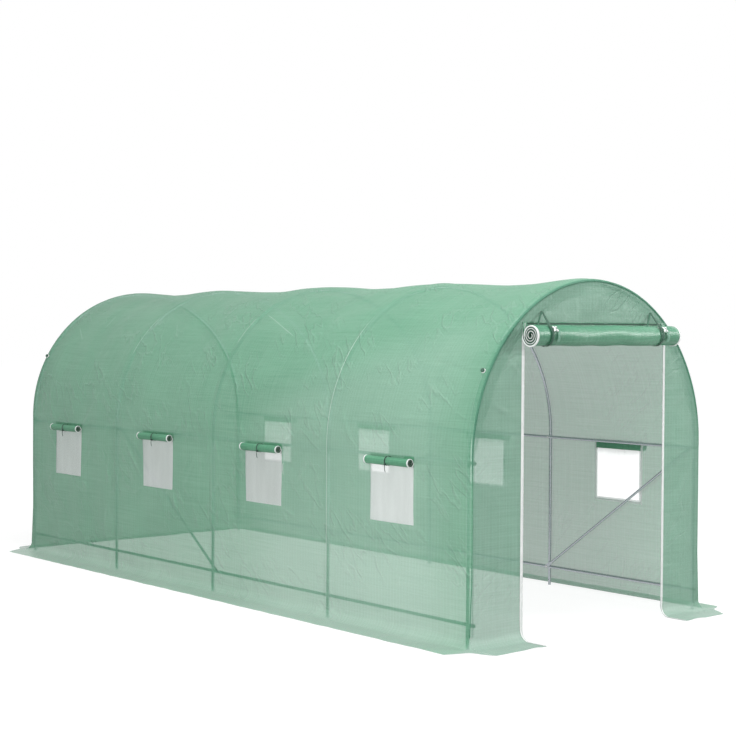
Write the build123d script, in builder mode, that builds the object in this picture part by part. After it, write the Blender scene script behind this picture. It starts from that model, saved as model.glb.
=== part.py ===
from build123d import *
from math import cos, hypot, radians, sin
import os

# A walk-in polytunnel. X runs across, Y along the tunnel with the door at -Y, Z up from the ground.
# The origin is the middle of the footprint, on the ground.

# Tunnel form, outside of the cover
tunnel_length = 5000.0
tunnel_width = 2000.0
wall_height = 1050.0
roof_sag = 25.0
sag_steps = 4
bay_count = 4

# Cover sheet
cover_thickness = 3.0
hem_width = 80.0
hem_thickness = 2.0
skirt_width = 200.0
skirt_bend_radius = 40.0
corner_draw_in = 70.0

# Steel frame
tube_diameter = 20.0
peg_hole_diameter = 7.0
peg_hole_height = 38.0
lower_rail_height = 130.0
middle_rail_drop = 22.0
rail_overhang = 30.0
cap_wall = 1.0
cap_length = 12.0
cap_bevel = 4.0
brace_diameter = 16.0
brace_tab_thickness = 3.0
brace_tab_width = 24.0
brace_tab_length = 45.0
brace_tab_end = 10.0
brace_taper_length = 30.0
brace_bolt_diameter = 6.0

# Door
door_width = 1220.0
gable_height = 250.0
door_offset = 15.0
door_roll_diameter = 125.0
door_roll_overhang = 17.0
door_roll_drop = 66.0
door_roll_bevel = 6.0
zip_width = 30.0
zip_thickness = 2.5
strap_width = 28.0
strap_thickness = 2.5
strap_reach = 480.0
strap_rise = 125.0
clip_reach = 24.0
clip_waist = 11.0
clip_points = 4
clip_thickness = 7.0
clip_angle = 35.0

# Windows
window_size = 380.0
window_sill_height = 642.0
window_offset = 40.0
net_margin = 15.0
net_thickness = 1.5
window_roll_diameter = 56.0
window_roll_length = 390.0
window_roll_drop = 20.0
window_roll_bevel = 3.0

# Round fasteners that hold the cover to the end hoops
knob_diameter = 28.0
knob_height = 20.0
knob_bevel = 7.0
knob_angle = 29.0

# Clearance where one piece sits on another
seat_gap = 0.3

# Places that follow from the sizes above
half_length = tunnel_length / 2
half_width = tunnel_width / 2
inner_half_length = half_length - cover_thickness
inner_half_width = half_width - cover_thickness
end_half_width = inner_half_width - seat_gap
tube_radius = tube_diameter / 2
hoop_radius = inner_half_width - seat_gap - tube_radius
rail_x = hoop_radius - tube_diameter - seat_gap
rail_end = inner_half_length - seat_gap - hem_thickness - seat_gap
middle_rail_height = wall_height - middle_rail_drop
end_hoop_y = rail_end - rail_overhang
hoop_spacing = 2 * end_hoop_y / bay_count
hoop_places = [-end_hoop_y + hoop_spacing * number for number in range(bay_count + 1)]
window_spacing = tunnel_length / bay_count
bend_top = cover_thickness + skirt_bend_radius
skirt_inner = half_width + skirt_bend_radius
skirt_outer = half_width + skirt_width
door_height = wall_height + half_width - gable_height
door_left = door_offset - door_width / 2
door_right = door_offset + door_width / 2
first_window_y = window_offset + window_spacing / 2 - half_length
window_places = [first_window_y + window_spacing * number for number in range(bay_count)]
window_centre_height = window_sill_height + window_size / 2
window_roll_height = window_sill_height + window_size - window_roll_drop
window_roll_x = half_width + seat_gap + window_roll_diameter / 2
door_roll_radius = door_roll_diameter / 2
door_roll_y = -(half_length + 2 * seat_gap + max(zip_thickness, strap_thickness) + door_roll_radius)
door_roll_height = door_height - door_roll_drop

os.makedirs("parts", exist_ok=True)


def across(y):
    """An upright plane across the tunnel at this y, with X to the right and Z up."""
    return Plane.XZ.offset(-y)


def save(part, name):
    part.label = name
    export_step(part, f"parts/{name}.step")


def mirrored(part):
    """The same piece on the right-hand side."""
    return part.mirror(Plane.YZ)


# Steel frame: posts, arches, rails and braces

def posts():
    """Five straight posts of one side, each with a cross hole for its ground peg."""
    with BuildPart() as side_posts:
        with BuildSketch(Plane.XY):
            with Locations([(-hoop_radius, y) for y in hoop_places]):
                Circle(tube_radius)
        extrude(amount=wall_height)
        with BuildSketch(Plane.YZ.offset(-half_width)):
            with Locations([(y, peg_hole_height) for y in hoop_places]):
                Circle(peg_hole_diameter / 2)
        extrude(amount=half_width, mode=Mode.SUBTRACT)
    return side_posts.part


left_posts = posts()
save(left_posts, "left_posts")
save(mirrored(left_posts), "right_posts")

for number, y in enumerate(hoop_places, start=1):
    with BuildPart() as arch:
        with BuildSketch(Plane.XY.offset(wall_height)):
            with Locations((-hoop_radius, y)):
                Circle(tube_radius)
        revolve(axis=Axis((0, y, wall_height), (0, 1, 0)), revolution_arc=180)
    save(arch.part, f"arch_{number}")


def rail(height):
    """A left-hand rail along the inside of the posts, with a bevelled plastic cap on each end."""
    with BuildPart() as side_rail:
        with BuildSketch(across(rail_end - cap_length)):
            with Locations((-rail_x, height)):
                Circle(tube_radius)
        extrude(amount=2 * (rail_end - cap_length))
        for end, direction in ((rail_end, 1), (-rail_end, -1)):
            with BuildSketch(across(end)):
                with Locations((-rail_x, height)):
                    Circle(tube_radius + cap_wall)
            extrude(amount=direction * cap_length)
        rims = side_rail.edges().filter_by(GeomType.CIRCLE).group_by(Axis.Y)
        chamfer([rims[0], rims[-1]], length=cap_bevel)
    return side_rail.part


left_lower_rail = rail(lower_rail_height)
save(left_lower_rail, "left_lower_rail")
save(mirrored(left_lower_rail), "right_lower_rail")
left_middle_rail = rail(middle_rail_height)
save(left_middle_rail, "left_middle_rail")
save(mirrored(left_middle_rail), "right_middle_rail")


def brace(foot_y, head_y):
    """A left-hand diagonal tube from the lower rail up to the middle rail, its ends flattened and drilled."""
    tab_x = -(rail_x - tube_radius - seat_gap - brace_tab_thickness / 2)
    foot = Vector(tab_x, foot_y, lower_rail_height)
    head = Vector(tab_x, head_y, middle_rail_height)
    slope = head - foot
    along = Plane(origin=foot, x_dir=(1, 0, 0), z_dir=slope)
    length = slope.length
    tab_stop = brace_tab_length - brace_tab_end
    round_start = tab_stop + brace_taper_length
    with BuildPart() as diagonal:
        for start, direction in ((0, 1), (length, -1)):
            with BuildSketch(along.offset(start - direction * brace_tab_end)):
                Rectangle(brace_tab_thickness, brace_tab_width)
            extrude(amount=direction * brace_tab_length)
            with BuildSketch(along.offset(start + direction * tab_stop)):
                Rectangle(brace_tab_thickness, brace_tab_width)
            with BuildSketch(along.offset(start + direction * round_start)):
                Circle(brace_diameter / 2)
            loft()
        with BuildSketch(along.offset(round_start)):
            Circle(brace_diameter / 2)
        extrude(amount=length - 2 * round_start)
        with BuildSketch(Plane.YZ.offset(-half_width)):
            with Locations((foot_y, lower_rail_height), (head_y, middle_rail_height)):
                Circle(brace_bolt_diameter / 2)
        extrude(amount=half_width, mode=Mode.SUBTRACT)
    return diagonal.part


save(brace(hoop_places[2], hoop_places[3]), "left_brace")
save(mirrored(brace(hoop_places[1], hoop_places[0])), "right_brace")


# Cover: side walls with their window holes, sagging roof bays and the two end sheets

def bend_section(plane, edge):
    """Section of the sheet where it turns out from upright to flat on the ground, from its outer face."""
    flat_end = edge - skirt_bend_radius
    with BuildSketch(plane) as section:
        with BuildLine():
            Line((edge, bend_top), (edge + cover_thickness, bend_top))
            JernArc((edge + cover_thickness, bend_top), (0, -1), bend_top, -90)
            Line((flat_end, 0), (flat_end, cover_thickness))
            JernArc((edge, bend_top), (0, -1), skirt_bend_radius, -90)
        make_face()
    return section.sketch


with BuildPart() as left_wall:
    extrude(bend_section(across(-half_length), -half_width), amount=-tunnel_length)
    with BuildSketch(across(-half_length)):
        with Locations((-half_width + cover_thickness / 2, (wall_height + bend_top) / 2)):
            Rectangle(cover_thickness, wall_height - bend_top)
    extrude(amount=-tunnel_length)
    with BuildSketch(Plane.YZ.offset(-half_width)):
        with Locations([(y, window_centre_height) for y in window_places]):
            Rectangle(window_size, window_size)
    extrude(amount=cover_thickness, mode=Mode.SUBTRACT)
save(left_wall.part, "left_wall")
save(mirrored(left_wall.part), "right_wall")


def roof_section(y, sag):
    """The arched band of sheet across the tunnel, lower at the ridge by the sag."""
    spring = (0, wall_height)
    with BuildSketch(across(y)) as section:
        with BuildLine():
            EllipticalCenterArc(spring, half_width, half_width - sag, arc_size=180)
            Line((-half_width, wall_height), (-inner_half_width, wall_height))
            EllipticalCenterArc(spring, inner_half_width, inner_half_width - sag, arc_size=180)
            Line((inner_half_width, wall_height), (half_width, wall_height))
        make_face()
    return section.sketch


for number in range(bay_count):
    start = hoop_places[number]
    edges = []
    for step in range(sag_steps + 1):
        share = step / sag_steps
        sag = roof_sag * 4 * share * (1 - share)
        edges.append(roof_section(start + share * hoop_spacing, sag))
    with BuildPart() as roof_bay:
        loft(sections=edges, ruled=True)
        if number == 0:
            extrude(edges[0], amount=half_length - end_hoop_y)
        if number == bay_count - 1:
            extrude(edges[-1], amount=-(half_length - end_hoop_y))
    save(roof_bay.part, f"roof_bay_{number + 1}")


def end_outline(radius, left, right, bottom):
    """The tunnel's end shape inside this radius, cut to a stretch of its width and above a height."""
    with Locations((0, wall_height)):
        Circle(radius)
    with Locations((0, wall_height)):
        Rectangle(2 * radius, wall_height - bend_top, align=(Align.CENTER, Align.MAX))
    with Locations((left, bottom)):
        Rectangle(
            right - left,
            wall_height + tunnel_width,
            align=(Align.MIN, Align.MIN),
            mode=Mode.INTERSECT,
        )


def end_sheet(left, right, bottom):
    """An upright piece of the front sheet, which turns out onto the ground where it reaches it."""
    with BuildPart() as sheet:
        with BuildSketch(across(-half_length)):
            end_outline(end_half_width, left, right, bottom)
        extrude(amount=-cover_thickness)
        if bottom == bend_top:
            extrude(bend_section(Plane.YZ.offset(left), -half_length), amount=right - left)
    return sheet.part


save(end_sheet(-end_half_width, door_left, bend_top), "front_left_panel")
save(end_sheet(door_right, end_half_width, bend_top), "front_right_panel")
save(end_sheet(door_left, door_right, door_height), "front_gable")
rear_wall = end_sheet(-end_half_width, end_half_width, bend_top).mirror(Plane.XZ)
save(rear_wall, "rear_wall")

def end_hem(opening):
    """The tunnel sheet's edge, turned in behind an end sheet, and cut back where that end has an opening."""
    inner = end_half_width - hem_width
    with BuildPart() as hem:
        with BuildSketch(across(-(inner_half_length - seat_gap))):
            end_outline(end_half_width, -end_half_width, end_half_width, bend_top)
            with Locations((0, wall_height)):
                Circle(inner, mode=Mode.SUBTRACT)
                Rectangle(2 * inner, wall_height, align=(Align.CENTER, Align.MAX), mode=Mode.SUBTRACT)
            if opening:
                with Locations((door_offset, 0)):
                    Rectangle(
                        door_width,
                        door_height,
                        align=(Align.CENTER, Align.MIN),
                        mode=Mode.SUBTRACT,
                    )
        extrude(amount=-hem_thickness)
    return hem.part


save(end_hem(True), "front_hem")
save(end_hem(False).mirror(Plane.XZ), "rear_hem")


# Ground skirt: side strips with drawn-in corners, and strips in front of and behind the ends

def corner_bend(end):
    """The sheet's turn onto the ground where it goes round a left-hand corner of the tunnel."""
    outward = 1 if end > 0 else -1
    upright = Axis((-half_width, end, 0), (0, 0, 1))
    with BuildSketch(across(end)) as section:
        add(bend_section(across(end), -half_width))
        with Locations((-half_width, 0)):
            Rectangle(
                skirt_bend_radius,
                bend_top,
                align=(Align.MAX, Align.MIN),
                mode=Mode.INTERSECT,
            )
    with BuildPart() as bend:
        revolve(section.sketch, axis=upright, revolution_arc=-90 * outward)
        far_face = bend.faces().filter_by(Axis.X).sort_by(Axis.X)[-1]
        extrude(far_face, amount=half_width - end_half_width)
    return bend.part


with BuildPart() as left_skirt:
    with BuildSketch(Plane.XY):
        with BuildLine():
            for end in (half_length, -half_length):
                outward = 1 if end > 0 else -1
                inner_turn = JernArc((-skirt_inner, end), (0, outward), skirt_bend_radius, -90 * outward)
                flap_start = (-end_half_width, end + outward * skirt_bend_radius)
                flap_end = (-end_half_width, end + outward * skirt_width)
                Line(inner_turn @ 1, flap_start)
                Line(flap_start, flap_end)
                draw_in = (-half_width - corner_draw_in, end + outward * corner_draw_in)
                ThreePointArc(flap_end, draw_in, (-skirt_outer, end))
            Line((-skirt_outer, -half_length), (-skirt_outer, half_length))
            Line((-skirt_inner, -half_length), (-skirt_inner, half_length))
        make_face()
    extrude(amount=cover_thickness)
    add(corner_bend(-half_length))
    add(corner_bend(half_length))
save(left_skirt.part, "left_skirt")
save(mirrored(left_skirt.part), "right_skirt")


def end_skirt(left, right):
    """A flat strip of skirt in front of the door end."""
    with BuildPart() as strip:
        with BuildSketch(Plane.XY):
            with Locations((left, -half_length - skirt_bend_radius)):
                Rectangle(
                    right - left,
                    skirt_width - skirt_bend_radius,
                    align=(Align.MIN, Align.MAX),
                )
        extrude(amount=cover_thickness)
    return strip.part


skirt_end_x = end_half_width - seat_gap
save(end_skirt(-skirt_end_x, door_left), "front_left_skirt")
save(end_skirt(door_right, skirt_end_x), "front_right_skirt")
save(end_skirt(-skirt_end_x, skirt_end_x).mirror(Plane.XZ), "rear_skirt")


# Windows: insect nets behind the holes and the rolled flaps above them

with BuildPart() as left_window_nets:
    with BuildSketch(Plane.YZ.offset(-(inner_half_width - seat_gap))):
        with Locations([(y, window_centre_height) for y in window_places]):
            Rectangle(window_size + 2 * net_margin, window_size + 2 * net_margin)
    extrude(amount=net_thickness)
save(left_window_nets.part, "left_window_nets")
save(mirrored(left_window_nets.part), "right_window_nets")

with BuildPart() as left_window_rolls:
    for y in window_places:
        with BuildSketch(across(y + window_roll_length / 2)):
            with Locations((-window_roll_x, window_roll_height)):
                Circle(window_roll_diameter / 2)
        extrude(amount=window_roll_length)
    chamfer(left_window_rolls.edges().filter_by(GeomType.CIRCLE), length=window_roll_bevel)
save(left_window_rolls.part, "left_window_rolls")
save(mirrored(left_window_rolls.part), "right_window_rolls")


# Door: the rolled-up panel, its two zips, and the straps and clips that hold the roll

with BuildPart() as door_roll:
    with BuildSketch(Plane.YZ.offset(door_left - door_roll_overhang)):
        with Locations((door_roll_y, door_roll_height)):
            Circle(door_roll_radius)
    extrude(amount=door_width + 2 * door_roll_overhang)
    chamfer(door_roll.edges().filter_by(GeomType.CIRCLE), length=door_roll_bevel)
save(door_roll.part, "door_roll")


def door_zip(left):
    """One side of the door's zip, on the outside of the front sheet."""
    with BuildPart() as zip_tape:
        with BuildSketch(across(-half_length - seat_gap)):
            with Locations((left, bend_top)):
                Rectangle(zip_width, door_height - bend_top, align=(Align.MIN, Align.MIN))
        extrude(amount=zip_thickness)
    return zip_tape.part


save(door_zip(door_left - zip_width), "left_door_zip")
save(door_zip(door_right), "right_door_zip")


def strap_loop(grow):
    """The outline that a strap follows round the roll and up to its seam on the gable."""
    seam_radius = strap_thickness
    roll_radius = door_roll_radius + seat_gap / 2
    seam_y = -half_length - seat_gap - strap_thickness - seam_radius
    with Locations((door_roll_y, door_roll_height)):
        Circle(roll_radius + grow)
    with Locations((seam_y, door_roll_height + strap_rise)):
        Circle(seam_radius + grow)
    make_hull()


def door_strap(centre):
    """A webbing strap that hangs from its seam and carries the roll in its loop."""
    with BuildPart() as strap:
        with BuildSketch(Plane.YZ.offset(centre - strap_width / 2)) as loop:
            strap_loop(strap_thickness - seat_gap / 2)
        with BuildSketch(Plane.YZ.offset(centre - strap_width / 2)) as hollow:
            strap_loop(0)
        extrude(loop.sketch, amount=strap_width)
        extrude(hollow.sketch, amount=strap_width, mode=Mode.SUBTRACT)
    return strap.part


def strap_clip(centre):
    """A star-shaped toggle on the front of a strap."""
    distance = door_roll_radius + strap_thickness + seat_gap
    away = Vector(0, -cos(radians(clip_angle)), sin(radians(clip_angle)))
    seat = Vector(centre, door_roll_y, door_roll_height) + away * distance
    corners = []
    for step in range(2 * clip_points):
        reach = clip_reach if step % 2 == 0 else clip_waist
        turn = radians(180 / clip_points * (step + 0.5))
        corners.append((reach * cos(turn), reach * sin(turn)))
    with BuildPart() as clip:
        with BuildSketch(Plane(origin=seat, x_dir=(1, 0, 0), z_dir=away)):
            with BuildLine():
                Polyline(*corners, close=True)
            make_face()
        extrude(amount=clip_thickness)
    return clip.part


save(door_strap(-strap_reach), "left_door_strap")
save(door_strap(strap_reach), "right_door_strap")
save(strap_clip(-strap_reach), "left_strap_clip")
save(strap_clip(strap_reach), "right_strap_clip")


# Cover knobs on both end hoops

with BuildPart() as cover_knobs:
    for side in (-1, 1):
        away = Vector(side * cos(radians(knob_angle)), 0, sin(radians(knob_angle)))
        for y in (-end_hoop_y, end_hoop_y):
            seat = Vector(0, y, wall_height) + away * (half_width + seat_gap)
            with BuildSketch(Plane(origin=seat, x_dir=(0, 1, 0), z_dir=away)):
                Circle(knob_diameter / 2)
            extrude(amount=knob_height)
    outer_rims = cover_knobs.edges().filter_by(GeomType.CIRCLE).filter_by(
        lambda rim: hypot(rim.arc_center.X, rim.arc_center.Z - wall_height) > half_width + knob_height / 2
    )
    chamfer(outer_rims, length=knob_bevel)
save(cover_knobs.part, "cover_knobs")
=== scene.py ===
import bpy
import numpy as np
from mathutils import Matrix, Vector
from mathutils.geometry import delaunay_2d_cdt


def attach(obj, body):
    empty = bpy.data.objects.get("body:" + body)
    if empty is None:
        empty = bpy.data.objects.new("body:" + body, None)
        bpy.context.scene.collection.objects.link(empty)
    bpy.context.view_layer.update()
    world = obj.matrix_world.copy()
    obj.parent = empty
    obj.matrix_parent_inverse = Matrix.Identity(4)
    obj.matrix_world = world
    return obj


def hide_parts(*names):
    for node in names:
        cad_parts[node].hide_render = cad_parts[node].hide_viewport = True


# A walk-in polytunnel: a green woven film cover over five steel hoops, with a roll-up door at -Y.
# Metres throughout. X runs across the tunnel, Y along it, Z up from the ground.
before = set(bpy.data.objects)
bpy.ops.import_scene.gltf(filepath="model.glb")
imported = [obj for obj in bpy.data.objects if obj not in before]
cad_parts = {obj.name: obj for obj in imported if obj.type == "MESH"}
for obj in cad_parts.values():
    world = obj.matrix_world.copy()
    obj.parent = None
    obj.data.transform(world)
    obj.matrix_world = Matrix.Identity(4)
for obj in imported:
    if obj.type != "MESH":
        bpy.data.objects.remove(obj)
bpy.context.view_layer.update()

# The roof's half circle springs at SPRING, and the cover bends out onto the ground with a radius of BEND
HALF_LENGTH = 2.5
HALF_WIDTH = 1.0
SPRING = 1.05
ROOF_SAG = 0.025
SKIRT = 0.2
BEND = 0.065
LIFT = 0.003
HOOPS = [-2.4644, -1.2322, 0.0, 1.2322, 2.4644]
TUBE_RADIUS = 0.01
POST_X = 0.9867
RAIL_X = 0.9664
RAIL_HEIGHTS = {"lower": 0.13, "middle": 1.028}
RAIL_END = 2.4944
BRACE_FACE = 0.9530
WORDS = {-1: "left", 1: "right"}

WINDOWS = [-1.835, -0.585, 0.665, 1.915]
WINDOW_HALF = 0.19
SILL = 0.642
HEAD = 1.022

DOOR_LEFT = -0.595
DOOR_RIGHT = 0.625
DOOR_TOP = 1.80

# Places across the tunnel where each strap starts on the gable, wraps the roll and carries its clip
STRAPS = {"left": (-0.455, -0.492, -0.468), "right": (0.50, 0.474, 0.498)}
STRAP_APEX_Z = 1.872

# Runs of the cover on its cut: over half the arch, down the wall, round the bend and out over the skirt,
# and up the doorway from the top of the bend
BENDS_AT = LIFT + BEND
ARCH_RUN = np.pi / 2 * HALF_WIDTH
WALL_RUN = SPRING - BENDS_AT
BEND_RUN = np.pi / 2 * BEND
SKIRT_RUN = SKIRT - BEND
GROUND_RUN = BEND_RUN + SKIRT_RUN
HALF_ROUND = ARCH_RUN + WALL_RUN + BEND_RUN + SKIRT_RUN
DOOR_RUN = DOOR_TOP - BENDS_AT

# How far the cover drops at its end edges, how close its points are, and how far behind it its trim lies
EDGE_FALL = 0.013
EDGE_REACH = 0.032
COVER_STEP = 0.0115
END_STEP = 0.016
HEM_WIDTH = 0.08
HEM_BEHIND = 0.0035
NET_MARGIN = 0.015
NET_BEHIND = 0.0035
SEAM_BEHIND = 0.0052
HEAD_BAND_BEHIND = 0.0068

# Weave of the film: the pitch of its tapes, how much of the pitch a tape fills, and how sharp its creases are
WEAVE = 0.0033
TAPE_SHARE = 0.42
CREASE_EDGE = 26.0

# Pale lines on the cover, from and to a place along the tunnel and a turn from the ridge in degrees, with a
# strength: where it is pulled over a hoop, and where it was folded; partly whitening, partly painted
# highlight
PALE_LINES = [
    (-1.2322, 34, -1.2322, 150, 0.9), (0.0, 38, 0.0, 53, 0.7), (0.0, 60, 0.0, 140, 0.2),
    (1.2322, 37, 1.2322, 60, 0.7), (1.2322, 66, 1.2322, 140, 0.15), (-2.4644, 50, -2.4644, 146, 0.2),
    (1.93, 35, 1.90, 43, 0.4), (2.28, 44, 2.10, 51, 0.3), (-0.04, 35.4, -0.59, 48.3, 0.4),
    (0.94, 41, 0.80, 49, 0.25)]


# Shader maths

class Number:
    """A number in a finish, from a socket, that takes ordinary arithmetic."""

    def __init__(self, finish, socket):
        self.finish = finish
        self.socket = socket

    def work(self, operation, *values):
        """The outcome of one step of arithmetic."""
        return self.finish.node("Math", dict(enumerate(values)), operation=operation)

    def __add__(self, other):
        return self.work("ADD", self, other)

    def __sub__(self, other):
        return self.work("SUBTRACT", self, other)

    def __rsub__(self, other):
        return self.work("SUBTRACT", other, self)

    def __mul__(self, other):
        return self.work("MULTIPLY", self, other)

    def __truediv__(self, other):
        return self.work("DIVIDE", self, other)

    def __mod__(self, other):
        return self.work("FLOORED_MODULO", self, other)

    def __abs__(self):
        return self.work("ABSOLUTE", self)

    def above(self, edge, softness):
        """0 below the edge and 1 above it, with a soft step between."""
        return self.finish.node("MapRange", {0: self, 1: edge - softness, 2: edge + softness, 3: 0.0, 4: 1.0},
                                interpolation_type="SMOOTHSTEP")

    def close_to(self, place, reach, fade=0.4):
        """1 about a place and 0 beyond its reach, fading over the last part of it."""
        return 1.0 - abs(self - place).above((1 - fade) * reach, fade * reach)

    def at_most(self, other):
        return self.work("MINIMUM", self, other)

    def at_least(self, other):
        return self.work("MAXIMUM", self, other)


class Finish:
    """The nodes of one of the tunnel's finishes, or of the studio's white world."""

    def __init__(self, name, kind=bpy.data.materials):
        self.data = kind.new(name)
        self.data.use_nodes = True
        self.tree = self.data.node_tree
        self.tree.nodes.clear()

    def node(self, kind, sockets=None, output=0, **settings):
        """Adds a node with its settings and its sockets' values or links, and gives back an output."""
        made = self.tree.nodes.new(f"ShaderNode{kind}")
        for name, value in settings.items():
            setattr(made, name, value)
        for name, value in (sockets or {}).items():
            socket = made.inputs[name]
            if isinstance(value, Number):
                self.tree.links.new(value.socket, socket)
            elif isinstance(value, tuple) and len(value) == 3 and socket.type == "RGBA":
                socket.default_value = (*value, 1.0)
            else:
                socket.default_value = value
        return Number(self, made.outputs[output]) if made.outputs else None

    def blend(self, share, first, second):
        """A colour between two, by the share of the second."""
        return self.node("Mix", {0: share, 6: first, 7: second}, 2, data_type="RGBA")

    def flat_place(self):
        """Where a point lies on the flat cut of a sheet, in metres, as two numbers."""
        place = self.node("UVMap", uv_map="cut")
        return self.part_of(place, 0), self.part_of(place, 1)

    def part_of(self, place, axis):
        """One of the three numbers of a place."""
        return self.node("SeparateXYZ", {0: place}, axis)

    def stretched(self, across, along, height=0.0):
        """Texture coordinates from a place on the cut, with its own scale each way."""
        u, v = self.flat_place()
        return self.node("CombineXYZ", {0: u * across, 1: v * along, 2: height})

    def solid_place(self, scale):
        """Texture coordinates from the place in the tunnel's frame."""
        place = self.node("TexCoord", output="Object")
        return self.node("VectorMath", {0: place, 3: scale}, operation="SCALE")

    def cloud(self, place, detail=2.0, roughness=0.5):
        """Noise at a place, between 0 and 1."""
        sockets = {"Vector": place, "Scale": 1.0, "Detail": detail, "Roughness": roughness}
        return self.node("TexNoise", sockets)

    def relief(self, height, distance, strength, under=None):
        """The turned surface direction of a height over the surface, or over another relief."""
        sockets = {"Height": height, "Distance": distance, "Strength": strength}
        if under is not None:
            sockets["Normal"] = under
        return self.node("Bump", sockets)

    def surface(self, sockets):
        return self.node("BsdfPrincipled", sockets)

    def mixed(self, share, first, second):
        return self.node("MixShader", {0: share, 1: first, 2: second})

    def done(self, shader, output="OutputMaterial"):
        self.node(output, {0: shader})
        return self.data


def threads(finish, place, pitch, share):
    """1 on a thread and 0 in the gap beside it, for threads set across one direction of the cut."""
    step = (place / pitch) % 1.0
    ridge = 1.0 - abs(step - 0.5) * 2.0
    return ridge.above(1.0 - share, 0.18)


def pale_line(y, v, start_y, start_turn, end_y, end_turn, strength):
    """A pale line between two places on the cover's cut, the same on both sides of the ridge."""
    start_v, end_v = np.radians(start_turn) * HALF_WIDTH, np.radians(end_turn) * HALF_WIDTH
    lean = np.arctan2(end_v - start_v, end_y - start_y)
    from_y, from_v = y - (start_y + end_y) / 2, abs(v) - (start_v + end_v) / 2
    off = from_v * np.cos(lean) - from_y * np.sin(lean)
    along = from_y * np.cos(lean) + from_v * np.sin(lean)
    reach = np.hypot(end_y - start_y, end_v - start_v) / 2
    return off.close_to(0.0, 0.0048) * along.close_to(0.0, reach, 0.15) * strength


def woven_film(name, clear, light, dark, glow=0.3, gloss=0.3, creased=0.2, over_hoops=False):
    """Green film woven from flat tapes, part clear, so one layer shows what is behind it."""
    film = Finish(name)
    u, v = film.flat_place()
    tapes = threads(film, u, WEAVE, TAPE_SHARE).at_least(threads(film, v, WEAVE, TAPE_SHARE))
    ribs = threads(film, u, 8 * WEAVE, 0.36).at_least(threads(film, v, 5 * WEAVE, 0.3) * 0.4)
    streaks = film.cloud(film.stretched(2.2, 135.0), 3.0, 0.6)
    cross_streaks = film.cloud(film.stretched(125.0, 1.3, 4.0), 2.0, 0.55)
    clouds = film.cloud(film.stretched(1.6, 1.9, 9.0), 2.0, 0.5)
    tone = streaks * 0.6 + cross_streaks * 0.4 + clouds * 0.3 - 0.15
    colour = film.blend(tone.above(0.5, 0.27), dark, light)
    colour = film.blend(tapes * 0.2 + ribs * 0.04, colour, dark)
    # Slanted creases in patches, with pale crests that are partly whitening and partly painted highlight, and
    # painted shade on one flank of each
    stress = film.node("Attribute", output="Fac", attribute_name="stress")
    patches = film.cloud(film.stretched(2.2, 2.6, 7.0), 1.0, 0.5).above(0.53, 0.08)
    slanted = film.node("CombineXYZ", {0: (u + v) * 2.4, 1: (u - v) * 7.5, 2: 5.0})
    folds = film.cloud(slanted, 2.0, 0.45)
    crests = (1.0 - abs(folds - 0.5) * CREASE_EDGE).at_least(0.0) * patches * (creased / 0.35)
    shaded_flanks = (1.0 - abs(folds - 0.535) * CREASE_EDGE).at_least(0.0) * patches
    colour = film.blend(shaded_flanks * creased, colour, dark)
    # Whitening where the film is stressed, with the crests' painted highlight
    whitened_and_highlit = (stress * (streaks * 0.9 + 0.55)).at_most(1.0).at_least(crests * 0.09)
    # On the main sheet, pale lines that are partly whitening and partly painted highlight, and a painted
    # sheen: a paler patch on the left near the front
    if over_hoops:
        for line in PALE_LINES:
            whitened_and_highlit = whitened_and_highlit.at_least(pale_line(u, v, *line) * (clouds * 0.5 + 0.75))
        painted_sheen = u.close_to(-1.42, 1.22, 0.28) * (0.0 - v - u * 0.38).above(1.55, 0.24)
        colour = film.blend(painted_sheen * 0.28, colour, (0.53, 0.73, 0.62))
    colour = film.blend(whitened_and_highlit * 0.75, colour, (0.70, 0.84, 0.75))
    crumples = film.cloud(film.stretched(7.0, 9.0, 2.0), 6.0, 0.66)
    normal = film.relief(crumples + crests * 0.6, 0.013, 0.6)
    normal = film.relief(tapes * 0.6 + ribs * 0.4, 0.0004, 0.6, normal)
    skin = film.surface({
        "Base Color": colour,
        "Roughness": clouds * 0.12 + tapes * 0.06 + (0.46 - 0.4 * gloss),
        "Specular IOR Level": gloss,
        "Normal": normal,
    })
    through = film.node("BsdfTranslucent", {"Color": (0.225, 0.268, 0.255)})
    body = film.mixed(glow, skin, through)
    clear_film = film.node("BsdfTransparent", {"Color": (0.99, 0.96, 0.98)})
    gaps = (1.0 - tapes) * 0.16 - ribs * 0.04 + (streaks * 0.6 + cross_streaks * 0.4 - 0.5) * 0.11
    see_through = (gaps - whitened_and_highlit * 0.12 + (clear - 0.065)).at_least(0.0)
    return film.done(film.mixed(see_through, body, clear_film))


def insect_mesh():
    """Fine white netting, with square holes under a millimetre."""
    net = Finish("insect_net")
    u, v = net.flat_place()
    strands = threads(net, u, 0.0012, 0.4).at_least(threads(net, v, 0.0012, 0.4))
    pull = net.cloud(net.stretched(14.0, 2.0), 3.0, 0.6)
    normal = net.relief(net.cloud(net.stretched(6.0, 7.0), 2.0), 0.004, 0.4)
    yarn = net.surface({
        "Base Color": net.blend(pull.above(0.5, 0.3), (0.62, 0.64, 0.64), (0.76, 0.78, 0.78)),
        "Roughness": 0.62,
        "Specular IOR Level": 0.3,
        "Normal": normal,
    })
    glow = net.node("BsdfTranslucent", {"Color": (0.93, 0.94, 0.94)})
    holes = net.node("BsdfTransparent", {"Color": (1.0, 1.0, 1.0)})
    cover = strands * 0.2 + pull * 0.1 + 0.46
    return net.done(net.mixed(cover, holes, net.mixed(0.66, yarn, glow)))


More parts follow.
